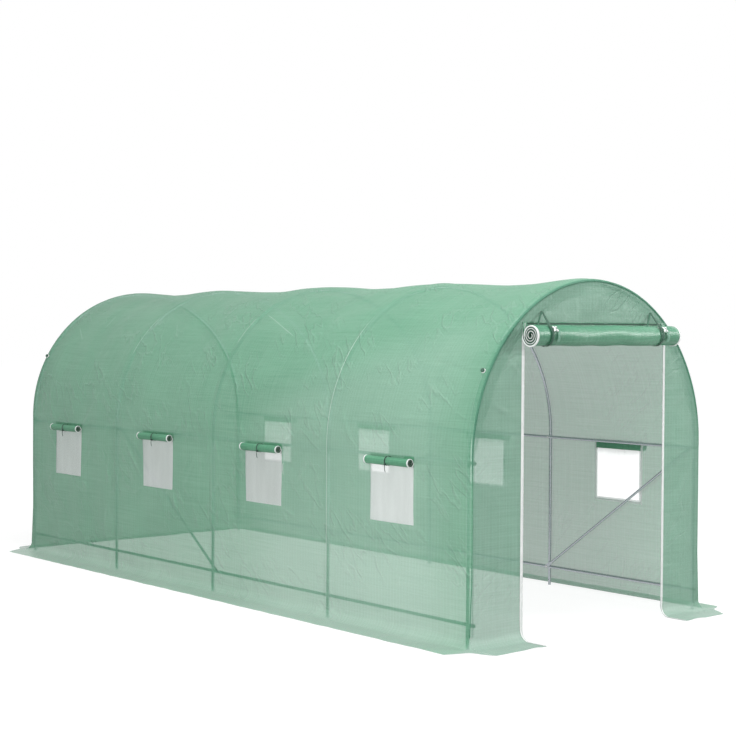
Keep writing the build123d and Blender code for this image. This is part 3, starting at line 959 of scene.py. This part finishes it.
def window_roll(side, number):
    """A window's rolled flap, hanging from its head, with an elastic tie round its middle."""
    word = WORDS[side]
    middle = WINDOWS[number]

    def to_space(y, rough):
        return table_of(side * (WINDOW_ROLL_X + rough[:, 0]), y, WINDOW_ROLL_Z + rough[:, 1])

    start, end = middle - WINDOW_FLAP_HALF, middle + WINDOW_FLAP_HALF
    flap, length = rolled_flap(
        f"{word}_window_roll_{number + 1}", WINDOW_ROLL_RADIUS, WINDOW_ROLL_PITCH, core=0.005, head=0.035,
        ends=(start + 0.001, end - 0.001), to_space=to_space, wave=0.05, film=window_roll_film,
        seed=60 + number)
    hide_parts(f"{word}_window_rolls")
    bindings = [
        rolled_binding(f"{word}_window_binding_{number + 1}_{place}", WINDOW_ROLL_RADIUS, WINDOW_ROLL_PITCH,
                       core=0.007, thick=(0.0034, 0.0012), place=edge, depth=depth, to_space=to_space,
                       rest=WINDOW_ROLL_RADIUS, within=shaded_inner_edge)
        for place, edge, depth in (("front", start, 0.009), ("rear", end, -0.009))]
    turns = np.linspace(0, 2 * np.pi, 49)
    outward = table_of(side * np.cos(turns), 0, np.sin(turns))
    ring = outward * (WINDOW_ROLL_RADIUS + 0.0012) + (side * WINDOW_ROLL_X, middle, WINDOW_ROLL_Z)
    knot_turn = np.radians(-38)
    knot = Vector((side * (WINDOW_ROLL_X + KNOT_OUT * np.cos(knot_turn)), middle,
                   WINDOW_ROLL_Z + KNOT_OUT * np.sin(knot_turn)))
    tail = [knot + Vector((side * 0.004 * np.sin(3 * share), -0.004 * share, -0.045 * share))
            for share in np.linspace(0, 1, 10)]
    points, faces = gathered([
        ribbon(ring, outward, 0.0075, 0.0014)[:2],
        swept(tail, round_section(0.002, 8))[:2],
        turned([(0.001, -0.008), (0.006, -0.005), (0.009, 0), (0.006, 0.005), (0.001, 0.008)], knot,
               (0, 0, 1), 12),
    ])
    tie = make_piece(f"{word}_window_tie_{number + 1}", points, faces, dark_elastic,
                     cut=[(point[1], point[2]) for point in points])


def window_net(side, number):
    """Insect netting behind a window, and the stitched border round the hole."""
    word = WORDS[side]
    half = WINDOW_HALF + NET_MARGIN
    middle_y, middle_z = WINDOWS[number], (SILL + HEAD) / 2
    places = np.linspace(-half, half, 21)
    u, v = crossed(places, places)
    flat = table_of(u, v)
    belly = 0.004 * np.cos(np.pi * u / (2 * half)) * np.cos(np.pi * v / (2 * half))
    x = side * (HALF_WIDTH - NET_BEHIND - belly)
    points = table_of(x, middle_y + u, middle_z + v)
    net = make_piece(f"{word}_window_net_{number + 1}", points, grid_faces(21, 21), net_mesh,
                     cut=flat)
    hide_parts(f"{word}_window_nets")
    seam_points, seam_cut = [], []
    for reach in (WINDOW_HALF - 0.011, WINDOW_HALF + 0.009):
        for corner_u, corner_v in ((-1, -1), (1, -1), (1, 1), (-1, 1)):
            seam_points.append((side * (HALF_WIDTH - SEAM_BEHIND), middle_y + corner_u * reach,
                                middle_z + corner_v * reach))
            seam_cut.append((corner_u * reach, corner_v * reach))
    seam = make_piece(f"{word}_window_seam_{number + 1}", seam_points, ring_faces(2, 4)[:4], seam_film,
                      cut=seam_cut)
    band_points = [(side * (HALF_WIDTH - HEAD_BAND_BEHIND), middle_y + u, HEAD - drop)
                   for u in np.linspace(-WINDOW_HALF, WINDOW_HALF, 12) for drop in (-0.006, 0.044)]
    band = make_piece(f"{word}_window_head_band_{number + 1}", band_points, grid_faces(12, 2),
                      window_roll_film, cut=[(y, z) for _, y, z in band_points])


for side in (-1, 1):
    for number in range(4):
        window_net(side, number)
        window_roll(side, number)

DOOR_ROLL_Y = -2.5656
DOOR_ROLL_Z = 1.734
DOOR_ROLL_RADIUS = 0.0618


def door_roll():
    """The rolled door panel under the gable, with the zip that is wound up in both its ends."""

    def to_space(x, rough):
        return table_of(x, DOOR_ROLL_Y - rough[:, 0], DOOR_ROLL_Z + rough[:, 1])

    roll, length = rolled_flap("door_roll_flap", DOOR_ROLL_RADIUS, pitch=0.0067, core=0.0115, head=0.078,
                               ends=(-0.6105, 0.6405), to_space=to_space, wave=0.075, film=roll_film, seed=91)
    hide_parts("door_roll")
    bindings = [
        rolled_binding(f"door_roll_binding_{word}", DOOR_ROLL_RADIUS + 0.006, pitch=0.0152, core=0.0125,
                       thick=(0.0078, 0.0050), place=edge, depth=depth, to_space=to_space,
                       rest=DOOR_ROLL_RADIUS, within=shaded_rolled_edge)
        for word, edge, depth in (("left", -0.612, 0.010), ("right", 0.642, -0.010))]
    # A dark strip along the head of the doorway, painted shadow where the roll meets the gable
    seam_points = [(x, -HALF_LENGTH - 0.0042, z) for x in np.linspace(DOOR_LEFT + 0.02, DOOR_RIGHT - 0.02, 40)
                   for z in (DOOR_TOP - 0.004, DOOR_TOP + 0.0065)]
    seam = make_piece("door_head_shadow_strip", seam_points, grid_faces(40, 2), webbing_and_head_shadow,
                      cut=[(x, z) for x, _, z in seam_points])


door_roll()


# Door zips, straps and clips

TOOTH_COUNT = 640
TOOTH_HALF = (0.0022, 0.001, 0.0011)
CLIP_TURN = np.radians(145)
CLIP_RINGS = [(1.0, 0.0), (1.0, 0.003), (0.9, 0.0048), (0.55, 0.0052), (0.4, 0.0085), (0.3, 0.0095)]


def door_zip(name, jamb, outward, node):
    """White zip tape down one side of the doorway, round the bend and out over the skirt, with its teeth."""
    depths = np.concatenate([np.linspace(DOOR_RUN, 0, 60)[:-1], -np.linspace(0, GROUND_RUN, 26)])
    depth, share = crossed(depths, np.linspace(0, 1, 4))
    reach = share * np.interp(depth, (-BEND_RUN, 0.05), (0.011, 0.021))
    flat = table_of(jamb + outward * (reach - 0.001), depth)
    tape = (down_the_end(flat, 0.0022, -1), grid_faces(len(depths), 4))
    drops = np.linspace(DOOR_RUN, 0.01 - GROUND_RUN, TOOTH_COUNT)
    middles = down_the_end(table_of(jamb + outward * 0.001, drops), 0.003, -1)
    signs = [(x, y, z) for x in (-1, 1) for y in (-1, 1) for z in (-1, 1)]
    corners = interleaved([middles + np.multiply(sign, TOOTH_HALF) for sign in signs])
    sides = [(0, 1, 3, 2), (4, 6, 7, 5), (0, 4, 5, 1), (2, 3, 7, 6), (0, 2, 6, 4), (1, 5, 7, 3)]
    teeth = (corners, [tuple(8 * tooth + index for index in side)
                       for tooth in range(TOOTH_COUNT) for side in sides])
    all_points, faces = gathered([tape, teeth])
    zip_tape = make_piece(name, all_points, faces, white_tape,
                          cut=np.concatenate([table_of(reach, depth), corners[:, [0, 2]]]))
    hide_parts(node)


door_zip("left_door_zip_tape", DOOR_LEFT, -1, "left_door_zip")
door_zip("right_door_zip_tape", DOOR_RIGHT, 1, "right_door_zip")


def round_the_roll(x, turns, distance):
    """Places round the door roll, turning from the gable over its top and down its front."""
    return table_of(x, DOOR_ROLL_Y + distance * np.cos(turns), DOOR_ROLL_Z + distance * np.sin(turns))


def star_clip(name, centre, node):
    """A white toggle with four arms and a dark disc in its middle, painted shade of its hole, on the front of
    a strap.
    """
    away = Vector((0, np.cos(CLIP_TURN), np.sin(CLIP_TURN)))
    across = Vector((1, 0, 0))
    up = away.cross(across)
    seat = Vector((centre, DOOR_ROLL_Y, DOOR_ROLL_Z)) + away * 0.0655
    points = []
    count = 64
    for share, height in CLIP_RINGS:
        for number in range(count):
            turn = 2 * np.pi * number / count
            lobe = 0.0105 + 0.0135 * (0.5 + 0.5 * np.cos(4 * (turn - np.pi / 4))) ** 1.5
            radius = share * lobe if share > 0.5 else share * 0.019
            points.append(seat + away * height + (across * np.cos(turn) + up * np.sin(turn)) * radius)
    faces = ring_faces(len(CLIP_RINGS), count)
    # The last face, the clip's middle, is a dark disc painted as the shade of its hole
    clip = make_piece(name, points, faces, [white_plastic, black_plastic_and_hole_shade],
                      face_finish=[0] * (len(faces) - 1) + [1])
    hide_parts(node)


def door_strap(name, apex, wrap, node):
    """A strap from a point on the gable, down over the front of the roll, round under it and up behind."""
    top = np.array([apex, -HALF_LENGTH - 0.0045, STRAP_APEX_Z])
    turns = np.radians(np.linspace(127, 360, 48))
    loop = round_the_roll(wrap, turns, DOOR_ROLL_RADIUS + 0.0012)
    outward = round_the_roll(0, turns, 1.0) - (0, DOOR_ROLL_Y, DOOR_ROLL_Z)
    count = 14
    shares = np.linspace(0, 1, count)[:, None]
    in_front = top + (loop[0] - top) * shares
    behind = loop[-1] + (-0.02, -0.001, 0) + (top + (-0.002, 0.0015, 0) - loop[-1] + (0.02, 0, 0)) * shares
    # The last of the loop keeps one direction, where it goes up behind the roll
    normals = np.concatenate([np.repeat(outward[:1], count - 1, axis=0), outward[:40],
                              np.repeat(outward[40:41], 8, axis=0)])
    widths = np.concatenate([np.linspace(0.012, 0.024, count - 1), np.linspace(0.024, 0.018, 8),
                             np.full(40, 0.018)])
    points, faces, cut = ribbon(np.concatenate([in_front[:-1], loop]), normals, widths, 0.0016)
    # The part behind the roll takes the darker edge film, painted shade where the strap goes up behind the
    # roll
    back_points, back_faces, back_cut = ribbon(behind, np.repeat([[0, -1.0, 0]], count, axis=0),
                                               np.linspace(0.012, 0.008, count), 0.0014)
    all_points, all_faces = gathered([(points, faces), (back_points, back_faces)])
    strap = make_piece(name, all_points, all_faces, [webbing_and_head_shadow, edge_shadow_film],
                       cut=np.concatenate([cut, back_cut]),
                       face_finish=[0] * len(faces) + [1] * len(back_faces))
    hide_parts(node)


def strap_tail(name, centre):
    """The loose end of a strap, which lies down the front of the roll."""
    turns = np.radians(np.linspace(158, 214, 18))
    outward = round_the_roll(0, turns, 1.0) - (0, DOOR_ROLL_Y, DOOR_ROLL_Z)
    line = round_the_roll(centre, turns, DOOR_ROLL_RADIUS + 0.0038)
    points, faces, cut = ribbon(line, outward, np.full(18, 0.021), 0.001)
    make_piece(name, points, faces, tail_film, cut=cut)


for word, (apex, wrap, clip_x) in STRAPS.items():
    door_strap(f"{word}_roll_strap", apex, wrap, f"{word}_door_strap")
    star_clip(f"{word}_star_clip", clip_x, f"{word}_strap_clip")
    strap_tail(f"{word}_strap_tail", clip_x + 0.024)


# Steel frame details

paint_frame_parts(tube_steel, "arch_1", "arch_2", "arch_3",
                  "right_posts", "right_lower_rail", "right_middle_rail", "right_brace")
# The near wall and the rear arches take the brighter copy of the steel, painted light
paint_frame_parts(brightened_wall_steel, "arch_4", "arch_5",
                  "left_posts", "left_lower_rail", "left_middle_rail", "left_brace")

# Sections of the small turned parts, as radius and height from base to tip
CAP = [(0.0112, 0.0), (0.0114, 0.006), (0.0114, 0.0105), (0.0102, 0.0132), (0.0075, 0.0146)]
BOLT = [(0.0062, 0), (0.0062, 0.0012), (0.0052, 0.0014), (0.0052, 0.0045), (0.0046, 0.0052)]
BRACE_BOLT = [(0.0075, 0), (0.0075, 0.001), (0.0055, 0.0012), (0.0055, 0.005), (0.004, 0.006)]
SLEEVE = [(0.0102, 0), (0.0108, 0.002), (0.0108, 0.043), (0.0106, 0.046), (0.0101, 0.048)]
BUTTON = [(0.0032, 0), (0.003, 0.0016), (0.0018, 0.0026)]
WASHER = [(0.0134, 0), (0.014, 0.0012), (0.0138, 0.0036), (0.0125, 0.0044)]
KNOB = [(0.0098, 0.003), (0.0102, 0.0055), (0.0118, 0.0085), (0.0124, 0.0125), (0.0116, 0.016),
        (0.0092, 0.0188), (0.0052, 0.0204), (0.0016, 0.0208)]
HEXAGON = 6


def turned_trim(name, parts, finish):
    """Several small turned parts of the frame, as one piece."""
    points, faces = gathered(parts)
    make_piece(name, points, faces, finish)


def rail_caps(word, side, height):
    """A plastic cap in each end of a rail."""
    turned_trim(f"{word}_rail_caps", [
        turned(CAP, (side * RAIL_X, end * (RAIL_END - 0.0125), height), (0, end, 0), 28) for end in (-1, 1)
    ], black_plastic_and_hole_shade)


def crossing_bolts(word, side):
    """A hexagon bolt head on the inside of each crossing of a post and a rail."""
    inner = side * (RAIL_X - TUBE_RADIUS - 0.0005)
    turned_trim(f"{word}_rail_bolts", [
        turned(BOLT, (inner, hoop, height), (-side, 0, 0), HEXAGON)
        for hoop in HOOPS for height in RAIL_HEIGHTS.values()
    ], bolt_steel)


def post_sleeves(word, side):
    """The swaged joint where each arch slips over its post, with the spring button on its inner side."""
    parts = []
    for hoop in HOOPS:
        parts.append(turned(SLEEVE, (side * POST_X, hoop, SPRING - 0.045), (0, 0, 1), 24))
        parts.append(turned(BUTTON, (side * (POST_X - 0.0104), hoop, SPRING - 0.02), (-side, 0, 0), 12))
    turned_trim(f"{word}_post_sleeves", parts, tube_steel)


def brace_bolts(side, places):
    """A bolt head at each end of a brace."""
    turned_trim(f"{WORDS[side]}_brace_bolts", [
        turned(BRACE_BOLT, (side * BRACE_FACE, y, height), (-side, 0, 0), HEXAGON) for y, height in places
    ], bolt_steel)


for side, word in WORDS.items():
    for level, height in RAIL_HEIGHTS.items():
        rail_caps(f"{word}_{level}", side, height)
    crossing_bolts(word, side)
    post_sleeves(word, side)
brace_bolts(-1, ((HOOPS[2], RAIL_HEIGHTS["lower"]), (HOOPS[3], RAIL_HEIGHTS["middle"])))
brace_bolts(1, ((HOOPS[1], RAIL_HEIGHTS["lower"]), (HOOPS[0], RAIL_HEIGHTS["middle"])))


def cover_knob(name, side, end):
    """A dark round fastener on a white washer, that holds the cover to an end hoop."""
    lean = np.radians(29)
    away = Vector((side * np.cos(lean), 0, np.sin(lean)))
    seat = Vector((0, end * HOOPS[4], SPRING)) + away * (HALF_WIDTH + 0.0014)
    washer = turned(WASHER, seat, away, 40)
    cap = turned(KNOB, seat, away, 40)
    points, faces = gathered([washer, cap])
    knob = make_piece(name, points, faces, [white_plastic, knob_plastic],
                      face_finish=[0] * len(washer[1]) + [1] * len(cap[1]))
    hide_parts("cover_knobs")


for side, word in WORDS.items():
    cover_knob(f"front_{word}_knob", side, -1)
    cover_knob(f"rear_{word}_knob", side, 1)


def edge_welt(name, end, film):
    """The stitched edge where the main sheet meets an end sheet."""
    reach = HALF_WIDTH - EDGE_FALL
    heights = np.linspace(BENDS_AT, SPRING, 40)[:-1]
    reaches = HALF_WIDTH - EDGE_FALL * np.clip((heights - BENDS_AT) / 0.3, 0, 1)
    path = list(zip(reaches, heights))
    crown = crown_lift(end * HALF_LENGTH)
    path += [(reach * np.cos(turn), SPRING + reach * np.sin(turn) + crown * np.sin(turn) ** 2)
             for turn in np.linspace(0, np.pi, 120)]
    path += list(zip(-reaches[::-1], heights[::-1]))
    line = [(x, end * (HALF_LENGTH - 0.005), z) for x, z in path]
    rounded = np.interp([z for _, _, z in line], (SPRING - 0.1, SPRING + 0.3), (0.35, 1.0))
    points, faces, cut = swept(line, round_section(0.0088, 10), scale=rounded)
    make_piece(name, points, faces, film, cut=cut)


# The front welt takes the darker edge film, a painted shadow line along the front arch; the rear welt has the
# plain cover film
edge_welt("front_edge_welt", -1, edge_shadow_film)
edge_welt("rear_edge_welt", 1, cover_film)


# Camera, light and floor

YAW, PITCH, ROLL = 0.7027013, -0.0247821, 0.0053588
EYE = Vector((-6.96904, -8.66554, 1.76416))
FOCAL = 1564.329
PHOTO_WIDTH = 736
ahead = Vector((np.sin(YAW) * np.cos(PITCH), np.cos(YAW) * np.cos(PITCH), np.sin(PITCH)))
right = Vector((np.cos(YAW), -np.sin(YAW), 0))
above = right.cross(ahead)
tilted_right = right * np.cos(ROLL) + above * np.sin(ROLL)
tilted_above = above * np.cos(ROLL) - right * np.sin(ROLL)
camera_data = bpy.data.cameras.new("camera")
camera_data.sensor_width = 36.0
camera_data.lens = FOCAL / PHOTO_WIDTH * camera_data.sensor_width
camera_data.clip_end = 200.0
camera = scene_object("camera", camera_data)
camera.matrix_world = Matrix([*zip(tilted_right, tilted_above, -ahead, EYE), (0, 0, 0, 1)])
bpy.context.scene.camera = camera
bpy.context.scene.view_settings.view_transform = "Standard"


def seen_directly(finish):
    """1 for what the camera, a reflection or a clear sheet shows, and 0 for the light it gives."""
    camera_ray, glossy_ray, clear_ray = (finish.node("LightPath", output=f"Is {kind} Ray")
                                         for kind in ("Camera", "Glossy", "Transmission"))
    return camera_ray.at_least(glossy_ray).at_least(clear_ray)


studio = Finish("studio", bpy.data.worlds)
plain_light = studio.node("Background", {"Color": (1.0, 1.0, 1.0), "Strength": 0.42})
white_backdrop = studio.node("Background", {"Color": (1.0, 1.0, 1.0), "Strength": 1.0})
bpy.context.scene.world = studio.done(
    studio.mixed(seen_directly(studio), plain_light, white_backdrop), "OutputWorld")

FLOOR_HALF = 60
floor_finish = Finish("studio_floor")
bounce = floor_finish.node("BsdfDiffuse", {"Color": (0.5, 0.5, 0.5)})
shadowed = floor_finish.node("BsdfDiffuse", {"Color": (0.26, 0.26, 0.26)})
from_middle = floor_finish.node("VectorMath", {0: floor_finish.solid_place(1.0)}, 1, operation="LENGTH")
glow = floor_finish.node("Emission", {
    "Color": floor_finish.blend(from_middle.above(9.0, 4.0), (0.84, 0.84, 0.84), (0.9, 0.9, 0.9)),
    "Strength": 1.0})
pale = floor_finish.node("AddShader", {0: shadowed, 1: glow})
floor_finish.done(floor_finish.mixed(seen_directly(floor_finish), bounce, pale))
floor_mesh = bpy.data.meshes.new("studio_floor")
floor_mesh.from_pydata([(x * FLOOR_HALF, y * FLOOR_HALF, 0) for x, y in ((-1, -1), (1, -1), (1, 1), (-1, 1))],
                       [], [(0, 1, 2, 3)])
floor_mesh.materials.append(floor_finish.data)
floor = scene_object("studio_floor", floor_mesh)


def soft_lamp(name, place, aim, size, power):
    """A square lamp at a place, turned to what it lights."""
    lamp = bpy.data.lights.new(name, "AREA")
    lamp.shape = "SQUARE"
    lamp.size = size
    lamp.energy = power
    holder = scene_object(name, lamp)
    holder.location = place
    holder.rotation_mode = "QUATERNION"
    holder.rotation_quaternion = (Vector(aim) - Vector(place)).to_track_quat("-Z", "Y")


soft_lamp("overhead_softbox", (-1.0, -2.7, 7.5), (0, -0.7, 1.0), 5.0, 395)
soft_lamp("front_softbox", (6.0, -7.4, 4.1), (0, -2.3, 1.2), 2.2, 375)
soft_lamp("left_softbox", (-8.0, -4.6, 2.9), (-1.0, -1.8, 0.9), 4.0, 390)
soft_lamp("right_softbox", (6.5, -1.5, 3.0), (1.0, 0, 1.0), 4.0, 110)
soft_lamp("rear_softbox", (1.5, 9.0, 2.6), (0, 2.5, 0.8), 3.0, 35)
